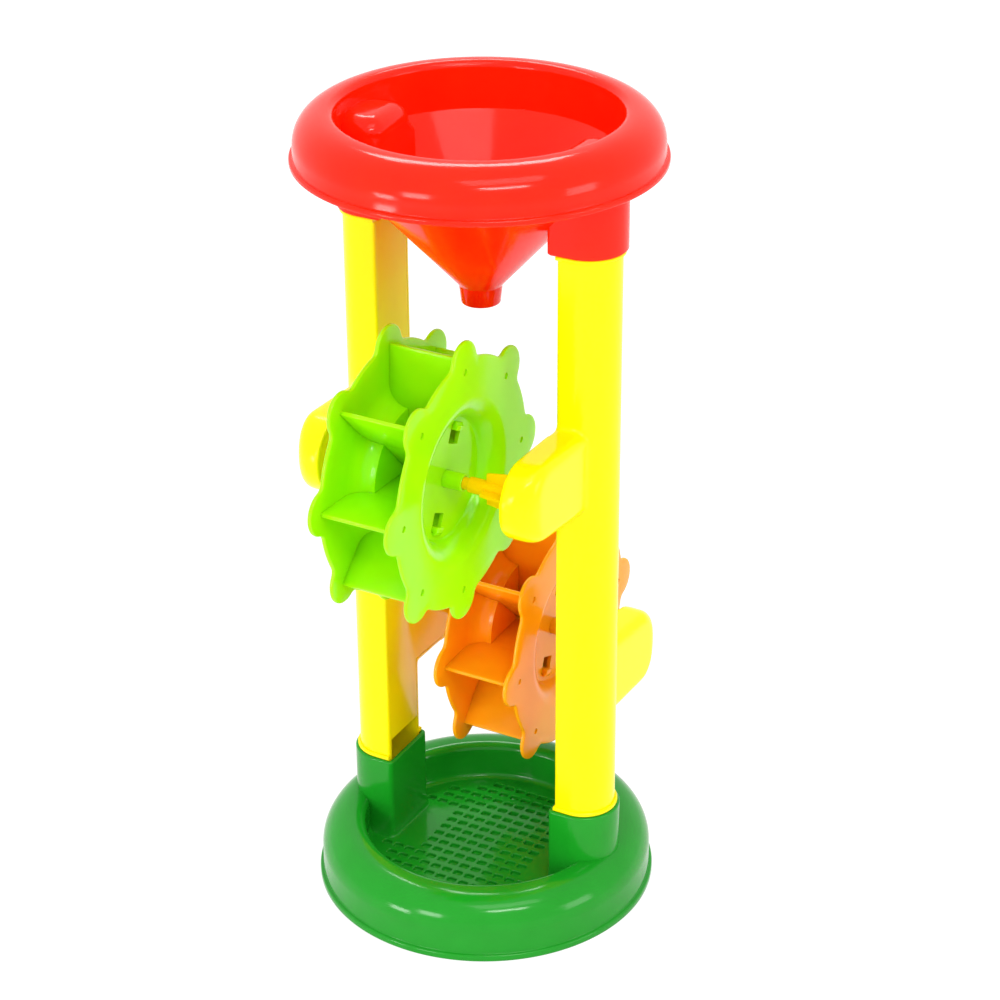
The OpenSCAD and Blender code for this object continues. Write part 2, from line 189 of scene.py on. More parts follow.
@dataclass(frozen=True)
class Noise:
    """A noise in the plastic, with the size of its spots in millimetres."""

    size: float
    detail: float
    roughness: float

    def value(self, tree: Tree, place: Socket) -> Socket:
        """Adds the noise to a tree and returns its value."""
        inputs = {
            "Vector": place,
            "Scale": 1 / (self.size * MM),
            "Detail": self.detail,
            "Roughness": self.roughness,
        }
        return add(tree, "ShaderNodeTexNoise", inputs).outputs["Fac"]


@dataclass(frozen=True)
class MouldedPolypropylene:
    """Injection-moulded polypropylene, coloured through and a little translucent.

    The polished mould gives narrow, weak highlights, the waxy resin lets light
    bleed a few millimetres under the skin, and thin walls glow. Flow in the
    mould leaves very faint waves and a slightly uneven gloss.
    """

    shade: str
    colour: str
    deep_colour: str
    slot: str
    roughness: float = 0.16
    shine: float = 0.22
    ior: float = 1.49
    bleed: float = 0.35
    bleed_mm: float = 4.0
    bleed_rgb: Vec3 = (1.0, 0.7, 0.4)
    waves: Noise = Noise(14.0, 2.0, 0.45)
    wave_mm: float = 0.28
    wave_share: float = 0.25
    grain: Noise = Noise(0.9, 3.0, 0.6)
    grain_range: Vec2 = (0.3, 0.7)
    uneven: Vec2 = (-0.03, 0.04)

    def material(self) -> bpy.types.Material:
        """Builds the material, or returns it if it is there already."""
        name = f"{self.shade}_moulded_polypropylene"
        found = bpy.data.materials.get(name)
        if found:
            return found
        made = bpy.data.materials.new(name)
        made.diffuse_color = linear(self.colour)
        tree = blank(made)
        place = add(tree, "ShaderNodeTexCoord").outputs["Object"]
        waves = self.waves.value(tree, place)
        inputs = {"Fac": waves, "Color1": linear(self.deep_colour), "Color2": linear(self.colour)}
        tint = add(tree, "ShaderNodeMixRGB", inputs)
        inputs = {
            "Value": self.grain.value(tree, place),
            "From Min": self.grain_range[0],
            "From Max": self.grain_range[1],
            "To Min": self.roughness + self.uneven[0],
            "To Max": self.roughness + self.uneven[1],
        }
        gloss = add(tree, "ShaderNodeMapRange", inputs)
        # A quarter of a wave of 0.28 mm, so highlights wander and no dent shows
        inputs = {"Height": waves, "Strength": self.wave_share, "Distance": self.wave_mm * MM}
        relief = add(tree, "ShaderNodeBump", inputs)
        inputs = {
            "Base Color": tint.outputs["Color"],
            "Roughness": gloss.outputs["Result"],
            "Normal": relief.outputs["Normal"],
            "IOR": self.ior,
            "Specular IOR Level": self.shine,
            "Subsurface Weight": self.bleed,
            "Subsurface Radius": self.bleed_rgb,
            "Subsurface Scale": self.bleed_mm * MM,
        }
        shader = add(tree, "ShaderNodeBsdfPrincipled", inputs)
        add(tree, "ShaderNodeOutputMaterial", {"Surface": shader.outputs["BSDF"]})
        return made


# The base lets the least light in, so its shaded floor and sockets stay deep green
BASE_GREEN = MouldedPolypropylene(
    "green", "1a9622", "128c1a", "base_plastic", roughness=0.13, shine=0.28, bleed=0.08
)
# The hopper has the clearest highlights of all pieces, on its ring
HOPPER_RED = MouldedPolypropylene(
    "red", "ff2304", "fa1a02", "hopper_plastic", roughness=0.12, bleed=0.3
)
COLUMN_YELLOW = MouldedPolypropylene("yellow", "ffee06", "ffe803", "column_plastic", shine=0.16)
# The cover is of the column's resin; its yellow, a little deeper than the column's, is painted
# shade of the flat face that turns from the light
COVER_YELLOW_PAINTED_SHADE = MouldedPolypropylene("cover_painted_shade", "ffea04", "ffe202", "cover_plastic", shine=0.08)
# The pins are of the cover's resin; their deeper orange-yellow is painted shade that stands in for
# light passing through their thick roots
PIN_PAINTED_SHADE = MouldedPolypropylene("pin_painted_shade", "ffcc04", "ffc002", "cover_plastic", shine=0.16)
# The wheels' thin discs and vanes glow most
WHEEL_LIME = MouldedPolypropylene(
    "lime", "a0ec06", "92e404", "upper_wheel_plastic", bleed=0.5, bleed_mm=6.0
)
WHEEL_ORANGE = MouldedPolypropylene(
    "orange", "ffa610", "ff9a08", "lower_wheel_plastic", bleed=0.5, bleed_mm=6.0
)


# Mesh tools


def soft_outline(corners: Sequence[Corner], chord: float) -> list[Vec2]:
    """Rounds each corner of a closed outline to its own radius.

    Args:
        corners: place and radius of each corner, in order.
        chord: length of the steps round a corner.

    Returns:
        The points of the rounded outline.
    """
    outline: list[Vec2] = []
    for i, (x, y, radius) in enumerate(corners):
        if radius <= 0:
            outline.append((x, y))
            continue
        here = Vector((x, y))
        back = (Vector(corners[i - 1][:2]) - here).normalized()
        ahead = (Vector(corners[(i + 1) % len(corners)][:2]) - here).normalized()
        half = back.angle(ahead) / 2
        centre = here + (back + ahead).normalized() * radius / math.sin(half)
        start = here + back * radius / math.tan(half) - centre
        end = here + ahead * radius / math.tan(half) - centre
        first = math.atan2(start.y, start.x)
        sweep = (math.atan2(end.y, end.x) - first + math.pi) % TURN - math.pi
        steps = max(3, math.ceil(abs(sweep) * radius / chord))
        for k in range(steps + 1):
            a = first + sweep * k / steps
            outline.append((centre.x + radius * math.cos(a), centre.y + radius * math.sin(a)))
    return outline


def directions(first: float, last: float, steps: int) -> list[complex]:
    """Directions of length 1 from one angle to another in degrees, both ends included."""
    angles = [first + (last - first) * k / steps for k in range(steps + 1)]
    return [cmath.rect(1, math.radians(angle)) for angle in angles]


def arc(centre: Vec2, radius: float, first: float, last: float, steps: int) -> list[Vec2]:
    """Points along an arc, from one angle to another in degrees.

    Args:
        centre: middle of the arc.
        radius: its radius.
        first: angle of the first point.
        last: angle of the last point.
        steps: number of steps between them.

    Returns:
        The points, both ends included.
    """
    outs = directions(first, last, steps)
    return [(centre[0] + radius * out.real, centre[1] + radius * out.imag) for out in outs]


def quarter(steps: int) -> list[Vec2]:
    """Steps of a rounded edge of radius 1, each as how far it has drawn in and risen."""
    return [(1 - out.real, out.imag) for out in directions(0, 90, steps)]


def about_x(degrees: float) -> Matrix:
    """A turn about the X axis."""
    return Matrix.Rotation(math.radians(degrees), 4, "X")


def smooth(obj: Obj) -> None:
    """Merges doubles, points the faces outwards and shades all but the sharp edges smooth."""
    work = bmesh.new()
    work.from_mesh(obj.data)
    bmesh.ops.remove_doubles(work, verts=work.verts, dist=MERGED)
    bmesh.ops.dissolve_degenerate(work, edges=work.edges, dist=COLLAPSED)
    bmesh.ops.recalc_face_normals(work, faces=work.faces)
    work.to_mesh(obj.data)
    work.free()
    obj.data.shade_smooth()
    obj.data.set_sharp_from_angle(angle=SHARP)


def piece(name: str, points: Iterable[Sequence[float]], faces: Iterable[Sequence[int]]) -> Obj:
    """Makes a mesh object from points in millimetres.

    Args:
        name: the object's name.
        points: places of the vertices.
        faces: vertex numbers of each face.

    Returns:
        The object, in the scene, with its faces pointing outwards.
    """
    mesh = bpy.data.meshes.new(name)
    mesh.from_pydata([Vector(p) * MM for p in points], [], [tuple(f) for f in faces])
    obj = bpy.data.objects.new(name, mesh)
    bpy.context.scene.collection.objects.link(obj)
    smooth(obj)
    return obj


def lofted(name: str, loops: Sequence[Loop], ring: bool = False) -> Obj:
    """Joins closed loops of equal count, one after the other.

    Args:
        name: the object's name.
        loops: the loops, in order.
        ring: joins the last loop to the first; otherwise both ends are closed.

    Returns:
        The object.
    """
    count = len(loops[0])
    points = [p for loop in loops for p in loop]
    faces: list[tuple[int, ...]] = []
    for j in range(len(loops) if ring else len(loops) - 1):
        here, there = j * count, (j + 1) % len(loops) * count
        for i in range(count):
            k = (i + 1) % count
            faces.append((here + i, here + k, there + k, there + i))
    if not ring:
        faces.append(tuple(range(count)))
        faces.append(tuple(range(len(points) - count, len(points))))
    return piece(name, points, faces)


def spun(
    name: str,
    corners: Sequence[Corner],
    axis: Axis = Axis.UP,
    segments: int = 256,
    chord: float = 0.8,
) -> Obj:
    """Rounds the corners of a closed outline and turns it round an axis.

    Args:
        name: the object's name.
        corners: distance from the axis, height and radius of each corner.
        axis: the axis to turn about.
        segments: number of steps round.
        chord: length of the steps round a corner.

    Returns:
        The object.
    """
    outline = soft_outline(corners, chord)
    loops: list[Loop] = []
    for s in range(segments):
        c, d = math.cos(TURN * s / segments), math.sin(TURN * s / segments)
        if axis is Axis.UP:
            loops.append([(r * c, r * d, h) for r, h in outline])
        else:
            loops.append([(h, r * c, r * d) for r, h in outline])
    return lofted(name, loops, ring=True)


def finished(obj: Obj) -> Obj:
    """Turns the object's modifiers into plain mesh, and returns the same object."""
    graph = bpy.context.evaluated_depsgraph_get()
    mesh = bpy.data.meshes.new_from_object(obj.evaluated_get(graph))
    old = obj.data
    obj.modifiers.clear()
    obj.data = mesh
    bpy.data.meshes.remove(old)
    mesh.name = obj.name
    smooth(obj)
    return obj


def joined(obj: Obj, tool: Obj, how: Join) -> Obj:
    """Adds a closed mesh to another, or cuts it out, and removes the tool."""
    step = obj.modifiers.new(how.value, "BOOLEAN")
    step.operation = how.value
    step.solver = "MANIFOLD"
    step.object = tool
    finished(obj)
    bpy.data.objects.remove(tool)
    return obj


def bevelled(obj: Obj, width: float, steps: int = 2) -> Obj:
    """Rounds the sharp edges of a simple closed mesh.

    Args:
        obj: the object.
        width: width of the rounded edge in millimetres.
        steps: number of steps across it.

    Returns:
        The same object.
    """
    edge = obj.modifiers.new("edge", "BEVEL")
    edge.width = width * MM
    edge.segments = steps
    edge.limit_method = "ANGLE"
    edge.angle_limit = SHARP
    return finished(obj)


def softened(obj: Obj, voxel: float, rounds: int) -> Obj:
    """Makes one skin of a closed mesh and wears its edges soft.

    Args:
        obj: the object.
        voxel: size of the steps of the skin in millimetres.
        rounds: number of rounds of smoothing.

    Returns:
        The same object.
    """
    skin = obj.modifiers.new("skin", "REMESH")
    skin.mode = "VOXEL"
    skin.voxel_size = voxel * MM
    wear = obj.modifiers.new("wear", "SMOOTH")
    wear.factor = 0.5
    wear.iterations = rounds
    return finished(obj)


def prism(name: str, outline: Sequence[Vec2], low: float, high: float, plane: str = "XY") -> Obj:
    """Extrudes an outline along the axis that its plane leaves out.

    Args:
        name: the object's name.
        outline: points in the plane.
        low: where the piece starts along the third axis.
        high: where it ends.
        plane: the two axes of the outline, such as "YZ".

    Returns:
        The object.
    """
    third = next(a for a in "XYZ" if a not in plane)
    order = [plane.find(a) if a != third else 2 for a in "XYZ"]
    loops = [[tuple((u, v, h)[i] for i in order) for u, v in outline] for h in (low, high)]
    return lofted(name, loops)


def block(name: str, low: Vec3, high: Vec3) -> Obj:
    """A box from its lowest to its highest corner."""
    outline = [(low[0], low[1]), (high[0], low[1]), (high[0], high[1]), (low[0], high[1])]
    return prism(name, outline, low[2], high[2])


def dress(
    obj: Obj, finish: MouldedPolypropylene, body: Body, replaced: Sequence[str] = ()
) -> None:
    """Gives a finished piece its material and its body, and hides the CAD nodes that it stands
    for.

    Args:
        obj: the piece.
        finish: what it is made of.
        body: the CAD body that it moves with.
        replaced: names of the CAD nodes that it stands for.
    """
    obj.data.materials.clear()
    obj.data.materials.append(finish.material())
    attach(obj, body.value)
    if replaced:
        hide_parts(*replaced)
    LOG.info("%s: %d faces, on %s", obj.name, len(obj.data.polygons), body.value)


# Geometry Nodes


class NodeTool:
    """A geometry node tree with named inputs, run on a mesh object."""

    def __init__(self, name: str) -> None:
        """Makes an empty tree with inputs for a geometry and its material."""
        self.tree = bpy.data.node_groups.new(name, "GeometryNodeTree")
        self.tree.interface.new_socket(
            "Geometry", in_out="OUTPUT", socket_type="NodeSocketGeometry"
        )
        self.sockets("Geometry", "Geometry")
        self.sockets("Material", "Material")
        self.given = self.tree.nodes.new("NodeGroupInput").outputs

    def sockets(self, kind: str, *names: str) -> None:
        """Adds named inputs of one kind to the tree."""
        for name in names:
            self.tree.interface.new_socket(name, in_out="INPUT", socket_type=f"NodeSocket{kind}")

    def copies(self, points: Node, at: dict[str, Socket]) -> None:
        """Ends the tree: the given piece on each point, realized and with its material.

        Args:
            points: a node whose mesh has the points.
            at: further inputs of the node that makes the copies.
        """
        inputs = {"Points": points.outputs["Mesh"], "Instance": self.given["Geometry"], **at}
        copied = add(self.tree, "GeometryNodeInstanceOnPoints", inputs)
        inputs = {"Geometry": copied.outputs["Instances"]}
        real = add(self.tree, "GeometryNodeRealizeInstances", inputs)
        inputs = {"Geometry": real.outputs["Geometry"], "Material": self.given["Material"]}
        painted = add(self.tree, "GeometryNodeSetMaterial", inputs)
        add(self.tree, "NodeGroupOutput", {"Geometry": painted.outputs["Geometry"]})

    def run(self, obj: Obj, values: dict[str, object]) -> Obj:
        """Runs the tree on an object with named values, and keeps the result as plain mesh."""
        step = obj.modifiers.new(self.tree.name, "NODES")
        step.node_group = self.tree
        items = self.tree.interface.items_tree
        keys = {item.name: item.identifier for item in items if item.in_out == "INPUT"}
        for name, value in values.items():
            step[keys[name]] = value
        return finished(obj)


class RoundCopies(NodeTool):
    """Copies a piece evenly round the X axis."""

    def __init__(self) -> None:
        """Builds the tree: one point for each copy, turned by its number."""
        super().__init__("copies_round_an_axle")
        self.sockets("Int", "Count")
        tree, given = self.tree, self.given
        points = add(tree, "GeometryNodeMeshLine", {"Count": given["Count"], "Offset": (0, 0, 0)})
        number = add(tree, "GeometryNodeInputIndex").outputs[0]
        angle = maths(tree, "MULTIPLY", number, maths(tree, "DIVIDE", TURN, given["Count"]))
        euler = add(tree, "ShaderNodeCombineXYZ", {"X": angle})
        self.copies(points, {"Rotation": euler.outputs[0]})


class PitField(NodeTool):
    """Pits in rows and columns, as far as the round floor and its two smooth pads leave room."""

    def __init__(self) -> None:
        """Builds the tree: a grid of points, and a copy on each one that passes both tests."""
        super().__init__("pits_of_a_waffle_floor")
        self.sockets("Float", "Pitch X", "Pitch Y", "Half X", "Half Y", "Radius", "Pad X", "Pad Y")
        self.sockets("Int", "Columns", "Rows")
        tree, given = self.tree, self.given
        inputs = {"Vertices X": given["Columns"], "Vertices Y": given["Rows"]}
        for axis, count in (("X", "Columns"), ("Y", "Rows")):
            steps = maths(tree, "SUBTRACT", given[count], 1.0)
            inputs[f"Size {axis}"] = maths(tree, "MULTIPLY", steps, given[f"Pitch {axis}"])
        grid = add(tree, "GeometryNodeMeshGrid", inputs)
        vectors = "ShaderNodeVectorMath"
        place = add(tree, "GeometryNodeInputPosition").outputs[0]
        middle = maths(tree, "ABSOLUTE", place, kind=vectors)
        size = add(tree, "ShaderNodeCombineXYZ", {"X": given["Half X"], "Y": given["Half Y"]})
        far = maths(tree, "ADD", middle, size.outputs[0], kind=vectors)
        near = maths(tree, "SUBTRACT", middle, size.outputs[0], kind=vectors)
        reach = add(tree, vectors, {0: far}, operation="LENGTH").outputs["Value"]
        across = add(tree, "ShaderNodeSeparateXYZ", {0: far}).outputs["X"]
        along = add(tree, "ShaderNodeSeparateXYZ", {0: near}).outputs["Y"]
        beside = maths(tree, "LESS_THAN", across, given["Pad X"])
        beyond = maths(tree, "GREATER_THAN", along, given["Pad Y"])
        within = maths(tree, "LESS_THAN", reach, given["Radius"])
        kept = maths(tree, "MULTIPLY", maths(tree, "MAXIMUM", beside, beyond), within)
        self.copies(grid, {"Selection": kept})


# Pieces of the toy


@dataclass(frozen=True)
class ColumnSection:
    """The D-shaped section that the columns and their sockets share."""

    face_x: float = 41.5
    straight: float = 7.4
    half_w: float = 13.7
    corner_steps: int = 4
    round_steps: int = 48

    def loop(
        self, side: Side, height: float, grow: float, corner: float, face_grow: float | None = None
    ) -> Loop:
        """The section grown on every side, at a height.

        Args:
            side: the side of the toy.
            height: where it lies.
            grow: how far it is grown.
            corner: radius of the two corners beside the flat face.
            face_grow: how far the flat face moves out, if not by grow.

        Returns:
            The points of the loop.
        """
        face = self.face_x - (grow if face_grow is None else face_grow)
        half = self.half_w + grow
        outline = [
            *arc((face + corner, corner - half), corner, 180, 270, self.corner_steps),
            *arc((self.face_x + self.straight, 0), half, -90, 90, self.round_steps),
            *arc((face + corner, half - corner), corner, 90, 180, self.corner_steps),
        ]
        return [(side.value * x, y, height) for x, y in outline]

    def stack(self, name: str, side: Side, rows: Iterable[Sequence[float | None]]) -> Obj:
        """A solid through sections, each row with what loop() takes after the side."""
        return lofted(name, [self.loop(side, *row) for row in rows])


SECTION = ColumnSection()


@dataclass
class BaseTray:
    """The green base: a ring, a tray with a waffle floor, and two sockets."""

    radius: float = 75.0
    ring_radius: float = 73.5
    lip_h: float = 3.0
    lip_soft: float = 0.9
    lip_root: float = 0.5
    rim_edge: float = 0.4
    ring_h: float = 27.0
    tray_r: float = 54.0
    shoulder: float = 13.5
    inner_round: float = 4.0
    wall: float = 2.0
    floor_z: float = 9.5
    floor_round: float = 3.0
    under_round: float = 1.0
    waffle_r: float = 49.5
    pad_gap: float = 61.0
    pad_w: float = 36.0
    pitch: Vec2 = (5.7, 5.8)
    pit: Vec2 = (4.2, 3.2)
    pit_depth: float = 1.55
    pit_corner: float = 0.9
    pit_rim: float = 0.3
    pit_foot: float = 0.5
    pit_bend: float = 0.15
    pit_chord: float = 9.0
    socket_z: float = 49.0
    fit: float = 0.2
    corner: float = 2.2
    rim_soft: float = 0.8
    rim_steps: int = 6
    foot_z: float = 18.0
    foot_side: float = 1.3
    foot_face: float = 1.6
    finish: MouldedPolypropylene = BASE_GREEN

    def shell(self) -> Obj:
        """The ring, which is open underneath, and the floor inside it."""
        w = self.wall
        corners = [
            (self.radius, 0, self.rim_edge),
            (self.radius, self.lip_h, self.lip_soft),
            (self.ring_radius, self.lip_h, self.lip_root),
            (self.ring_radius, self.ring_h, self.shoulder),
            (self.tray_r, self.ring_h, self.inner_round),
            (self.tray_r, self.floor_z, self.floor_round),
            (0, self.floor_z, 0),
            (0, self.floor_z - w, 0),
            (self.tray_r + w, self.floor_z - w, self.under_round),
            (self.tray_r + w, self.ring_h - w, self.inner_round - w),
            (self.ring_radius - w, self.ring_h - w, self.shoulder - w),
            (self.ring_radius - w, 0, self.rim_edge),
        ]
        tray = spun("base_tray_shell", corners)
        for side in Side:
            rows = [(z, self.fit, SOCKET_CORNER) for z in (self.floor_z, self.socket_z)]
            joined(tray, SECTION.stack("room", side, rows), Join.CUT)
        return joined(tray, self.pits(PitField()), Join.CUT)

    def pits(self, tool: PitField) -> Obj:
        """The pits of the waffle floor, rounded at the bottom and with a crisp slanted rim.

        Args:
            tool: the node tree that lays pits in rows and columns.

        Returns:
            All the pits as one mesh, to be cut out of the floor.
        """
        half_x, half_y = self.pit[0] / 2, self.pit[1] / 2
        rim, foot, bend, low = self.pit_rim, self.pit_foot, self.pit_bend, -self.pit_depth
        profile = [(foot, low), (bend, low + bend), (0, low + foot)]
        profile += [(0, -rim), (-rim, 0), (-rim, OVERRUN)]
        loops = []
        for inset, height in profile:
            x, y, corner = half_x - inset, half_y - inset, self.pit_corner - inset
            corners = [(x, y, corner), (-x, y, corner), (-x, -y, corner), (x, -y, corner)]
            plan = soft_outline(corners, self.pit_chord)
            loops.append([(u, v, self.floor_z + height) for u, v in plan])
        lengths = {
            "Pitch X": self.pitch[0],
            "Pitch Y": self.pitch[1],
            "Half X": half_x,
            "Half Y": half_y,
            "Radius": self.waffle_r,
            "Pad X": self.pad_gap / 2,
            "Pad Y": self.pad_w / 2,
        }
        values = {name: length * MM for name, length in lengths.items()}
        values["Columns"] = 2 * math.ceil(self.waffle_r / self.pitch[0]) + 1
        values["Rows"] = 2 * math.ceil(self.waffle_r / self.pitch[1])
        return tool.run(lofted("pit", loops), {**values, "Material": self.finish.material()})

    def socket(self, side: Side) -> Obj:
        """The open socket that a column stands in, spread a little at its foot."""
        outer, soft, steps = self.fit + self.wall, self.rim_soft, quarter(self.rim_steps)
        deep, drop = self.floor_z - self.wall / 2, self.foot_z - self.floor_z
        foot = [(1.0, deep), *((share, self.foot_z - drop * sunk) for share, sunk in steps[::-1])]
        rim = [(soft * drawn, self.socket_z - soft + soft * risen) for drawn, risen in steps]
        rows = []
        for share, z in foot:
            spread = self.foot_side * share
            rows.append((z, outer + spread, self.corner + spread, outer + self.foot_face * share))
        rows += [(z, outer - s, self.corner - s) for s, z in rim]
        rows += [(z, self.fit + s, SOCKET_CORNER + s) for s, z in rim[::-1]]
        rows.append((self.floor_z, self.fit, SOCKET_CORNER))
        return SECTION.stack(f"base_socket_{side.name.lower()}", side, rows)

    def build(self) -> None:
        """Builds and dresses the whole base."""
        dress(self.shell(), self.finish, Body.FRAME, ["base_tray"])
        for side in Side:
            dress(self.socket(side), self.finish, Body.FRAME)


@dataclass
class Hopper:
    """The red hopper: a ring with a bowl, a funnel, a spout and two closed sockets."""

    radius: float = 75.5
    ring_radius: float = 74.0
    top: float = 358.5
    ring_z: float = 338.0
    rim_edge: float = 0.5
    lip_h: float = 2.4
    lip_soft: float = 0.8
    lip_root: float = 0.5
    bowl_r: float = 57.0
    bowl_foot: float = 0.8
    bowl_under: float = 1.2
    shoulder: float = 13.5
    inner_round: float = 3.0
    back_edge: float = 0.3
    wall: float = 1.9
    neck_z: float = 284.0
    neck_r: float = 7.1
    neck_round: float = 2.0
    neck_under: float = 1.2
    tip_z: float = 276.0
    tip_r: float = 6.2
    tip_soft: float = 0.6
    socket_low: float = 309.0
    socket_high: float = 350.5
    socket_stop: float = 345.0
    socket_soft: float = 8.0
    socket_face: float = 3.5
    socket_steps: int = 10
    socket_rim: float = 0.6
    corner: float = 2.1
    fit: float = 0.2
    finish: MouldedPolypropylene = HOPPER_RED

    def shell(self) -> Obj:
        """Ring, bowl, funnel and spout as one turned shell."""
        w = self.wall
        run, drop = self.bowl_r - self.neck_r, self.ring_z - self.neck_z
        level_wall = w * math.hypot(run, drop) / drop
        corners = [
            (self.radius, self.ring_z, self.rim_edge),
            (self.radius, self.ring_z + self.lip_h, self.lip_soft),
            (self.ring_radius, self.ring_z + self.lip_h, self.lip_root),
            (self.ring_radius, self.top, self.shoulder),
            (self.bowl_r, self.top, self.inner_round),
            (self.bowl_r, self.ring_z, self.bowl_foot),
            (self.neck_r, self.neck_z, self.neck_round),
            (self.tip_r, self.tip_z, self.tip_soft),
            (self.tip_r + w, self.tip_z, self.tip_soft),
            (self.neck_r + w, self.neck_z, self.neck_under),
            (self.bowl_r + level_wall, self.ring_z + w, self.bowl_under),
            (self.bowl_r + w, self.top - w, self.inner_round - w),
            (self.ring_radius - w, self.top - w, self.shoulder - w),
            (self.ring_radius - w, self.ring_z, self.back_edge),
        ]
        return spun("hopper_shell", corners)

    def socket(self, side: Side) -> Obj:
        """A socket for a column, closed on top and soft where it shows in the bowl."""
        outer, face, soft = self.fit + self.wall, self.fit + self.socket_face, self.socket_soft
        rim, corner, low = self.socket_rim, self.corner, self.socket_low
        rows = [
            (self.socket_stop, self.fit, SOCKET_CORNER, None),
            (low + rim, self.fit, SOCKET_CORNER, None),
            (low, self.fit + rim, SOCKET_CORNER + rim, None),
            (low, outer - rim, corner - rim, face - rim),
            (low + rim, outer, corner, face),
            (self.ring_z, outer, corner, face),
        ]
        for drawn, risen in quarter(self.socket_steps):
            s, z = soft * drawn, self.socket_high - soft + soft * risen
            rows.append((z, outer - s, soft + rim - s, face - s))
        return SECTION.stack(f"hopper_socket_{side.name.lower()}", side, rows)

    def build(self) -> None:
        """Builds and dresses the whole hopper."""
        dress(self.shell(), self.finish, Body.FRAME, ["hopper"])
        for side in Side:
            dress(self.socket(side), self.finish, Body.FRAME)


@dataclass(frozen=True)
class Boss:
    """A hollow boss that carries one stub pin, and leans a little to the middle of the toy."""

    name: str
    toward: int
    axle: Vec2
    end: Vec3 = (-46.0, 0.8, 16.8)
    root: Vec3 = (-6.1, 3.4, 18.2)
    depth: float = 14.0
    arm_soft: float = 4.0
    nose_soft: float = 11.0
    nose_power: float = 1.5
    least_soft: float = 1.0
    arc_steps: int = 36
    edge_steps: int = 8

    def outline(self) -> list[Spot]:
        """Outline round the end and the root, with Y and Z as the parts of each number."""
        (far, drop, end_r), (near, root_drop, root_r) = self.end, self.root
        lean = math.degrees(math.atan2(root_drop - drop, near - far))
        length = math.hypot(near - far, root_drop - drop)
        tilt = math.degrees(math.asin((root_r - end_r) / length))
        turns = (lean + 90 + tilt, lean + 270 - tilt), (lean - 90 - tilt, lean + 90 + tilt)
        return [
            (complex(y, z) + radius * out, out)
            for (y, z, radius), turn in zip((self.end, self.root), turns)
            for out in directions(*turn, self.arc_steps)
        ]

    def placed(self, spot: Spot, inset: float) -> Vec2:
        """A point of the outline in the toy's Y and Z, moved inwards."""
        at = spot[0] - inset * spot[1]
        return -self.toward * at.real, self.axle[1] + self.toward * at.imag

    def ring(self, inset: float) -> list[Vec2]:
        """The whole outline in the toy's Y and Z, moved inwards."""
        return [self.placed(spot, inset) for spot in self.outline()]

    def solid(self, side: Side, inset: float, front: float) -> Obj:
        """The boss as a closed solid, with a soft edge that grows large at its nose.

        Args:
            side: the side of the toy.
            inset: how far its skin lies inside the boss.
            front: how far it reaches in front of the column's flat face.

        Returns:
            The object.
        """
        deep = SECTION.face_x + self.depth - inset
        loops: list[Loop] = [[(SECTION.face_x - front, y, z) for y, z in self.ring(inset)]]
        for drawn, risen in quarter(self.edge_steps):
            loop = []
            for spot in self.outline():
                nose = max(0.0, -spot[1].real) ** self.nose_power
                soft = self.arm_soft + (self.nose_soft - self.arm_soft) * nose - inset
                soft = max(self.least_soft, soft)
                loop.append((deep - soft * (1 - risen), *self.placed(spot, inset + soft * drawn)))
            loops.append(loop)
        shaped = [[(side.value * x, y, z) for x, y, z in loop] for loop in loops]
        return lofted("boss", shaped)


